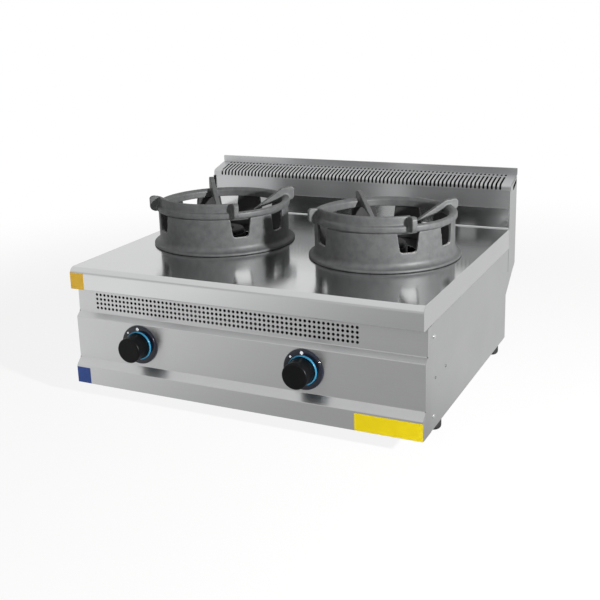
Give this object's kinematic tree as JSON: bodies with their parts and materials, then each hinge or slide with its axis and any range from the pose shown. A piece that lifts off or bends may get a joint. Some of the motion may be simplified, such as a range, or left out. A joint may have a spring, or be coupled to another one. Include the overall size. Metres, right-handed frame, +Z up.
{
  "type": "wok range",
  "caption": "Countertop gas wok range: steel casing with perforated front, slotted flue, cast rings with liftable wok supports, push-and-turn knobs.",
  "frame": {"origin": "on the bench, under the middle of the range's overall box", "axes": "+X to the right along the front, +Y to the back, +Z up"},
  "size_m": [0.8038, 0.7308, 0.4347],
  "materials": {
    "brushed_steel": "fine brushed stainless",
    "polished_steel": "polished stainless",
    "cast_iron": "matt enamelled sand casting",
    "zinc_steel": "zinc plated",
    "screw_steel": "bright plated",
    "brass": "machined",
    "copper": "drawn copper",
    "black_plastic": "satin moulded",
    "black_gloss": "gloss moulded",
    "blue_plastic": "satin moulded",
    "rubber": "matt moulded",
    "yellow_label": "plain vinyl label",
    "blue_label": "plain vinyl label"
  },
  "bodies": {
    "root": {"hob_top": "polished_steel", "front_fascia": "brushed_steel", "side_panel_left": "brushed_steel", "side_panel_right": "brushed_steel", "rear_panel": "brushed_steel", "base_pan": "brushed_steel", "splash_panel": "polished_steel", "flue_grille": "brushed_steel", "flue_cheek_left": "brushed_steel", "flue_cheek_right": "brushed_steel", "flue_back": "brushed_steel", "burner_body_left": "cast_iron", "burner_body_right": "cast_iron", "mixing_tube_left": "cast_iron", "mixing_tube_right": "cast_iron", "injector_left": "brass", "injector_right": "brass", "injector_bracket_left": "zinc_steel", "injector_bracket_right": "zinc_steel", "supply_pipe_left": "copper", "supply_pipe_right": "copper", "pilot_burner_left": "zinc_steel", "pilot_burner_right": "zinc_steel", "pilot_pipe_left": "copper", "pilot_pipe_right": "copper", "thermocouple_left": "copper", "thermocouple_right": "copper", "thermocouple_lead_left": "copper", "thermocouple_lead_right": "copper", "gas_valve_left": "zinc_steel", "gas_valve_right": "zinc_steel", "bezel_left": "black_gloss", "bezel_right": "black_gloss", "bezel_ring_left": "blue_plastic", "bezel_ring_right": "blue_plastic", "gas_manifold": "zinc_steel", "manifold_brackets": "zinc_steel", "burner_rails": "zinc_steel", "tube_rail": "zinc_steel", "feet": "rubber", "foot_studs": "zinc_steel", "side_screws": "screw_steel", "side_rivets": "screw_steel", "rear_screws": "screw_steel", "rim_label": "yellow_label", "band_label_left": "blue_label", "band_label_right": "yellow_label"},
    "stand_left": {"ring_stand_left": "cast_iron"},
    "support_left": {"pan_support_left": "cast_iron"},
    "cap_left": {"burner_cap_left": "cast_iron"},
    "push_left": {"valve_sleeve_left": "brass"},
    "dial_left": {"spindle_left": "zinc_steel", "knob_left": "black_plastic"},
    "stand_right": {"ring_stand_right": "cast_iron"},
    "support_right": {"pan_support_right": "cast_iron"},
    "cap_right": {"burner_cap_right": "cast_iron"},
    "push_right": {"valve_sleeve_right": "brass"},
    "dial_right": {"spindle_right": "zinc_steel", "knob_right": "black_plastic"}
  },
  "joints": [
    {"name": "stand_lift_left", "type": "slide", "parent": "root", "child": "stand_left", "axis": [0, 0, 1], "range_m": [0, 0.12]},
    {"name": "support_lift_left", "type": "slide", "parent": "stand_left", "child": "support_left", "axis": [0, 0, 1], "range_m": [0, 0.08]},
    {"name": "cap_lift_left", "type": "slide", "parent": "root", "child": "cap_left", "axis": [0, 0, 1], "range_m": [0, 0.025]},
    {"name": "knob_push_left", "type": "slide", "parent": "root", "child": "push_left", "axis": [0, 1, 0], "range_m": [0, 0.003], "stiffness_N_per_m": 1500, "springref_m": -0.001},
    {"name": "knob_turn_left", "type": "hinge", "parent": "push_left", "child": "dial_left", "pos_m": [-0.236, -0.33155, 0.1411], "axis": [0, -1, 0], "range_deg": [0, 270]},
    {"name": "stand_lift_right", "type": "slide", "parent": "root", "child": "stand_right", "axis": [0, 0, 1], "range_m": [0, 0.12]},
    {"name": "support_lift_right", "type": "slide", "parent": "stand_right", "child": "support_right", "axis": [0, 0, 1], "range_m": [0, 0.08]},
    {"name": "cap_lift_right", "type": "slide", "parent": "root", "child": "cap_right", "axis": [0, 0, 1], "range_m": [0, 0.025]},
    {"name": "knob_push_right", "type": "slide", "parent": "root", "child": "push_right", "axis": [0, 1, 0], "range_m": [0, 0.003], "stiffness_N_per_m": 1500, "springref_m": -0.001},
    {"name": "knob_turn_right", "type": "hinge", "parent": "push_right", "child": "dial_right", "pos_m": [0.1505, -0.33155, 0.1411], "axis": [0, -1, 0], "range_deg": [0, 270]}
  ]
}
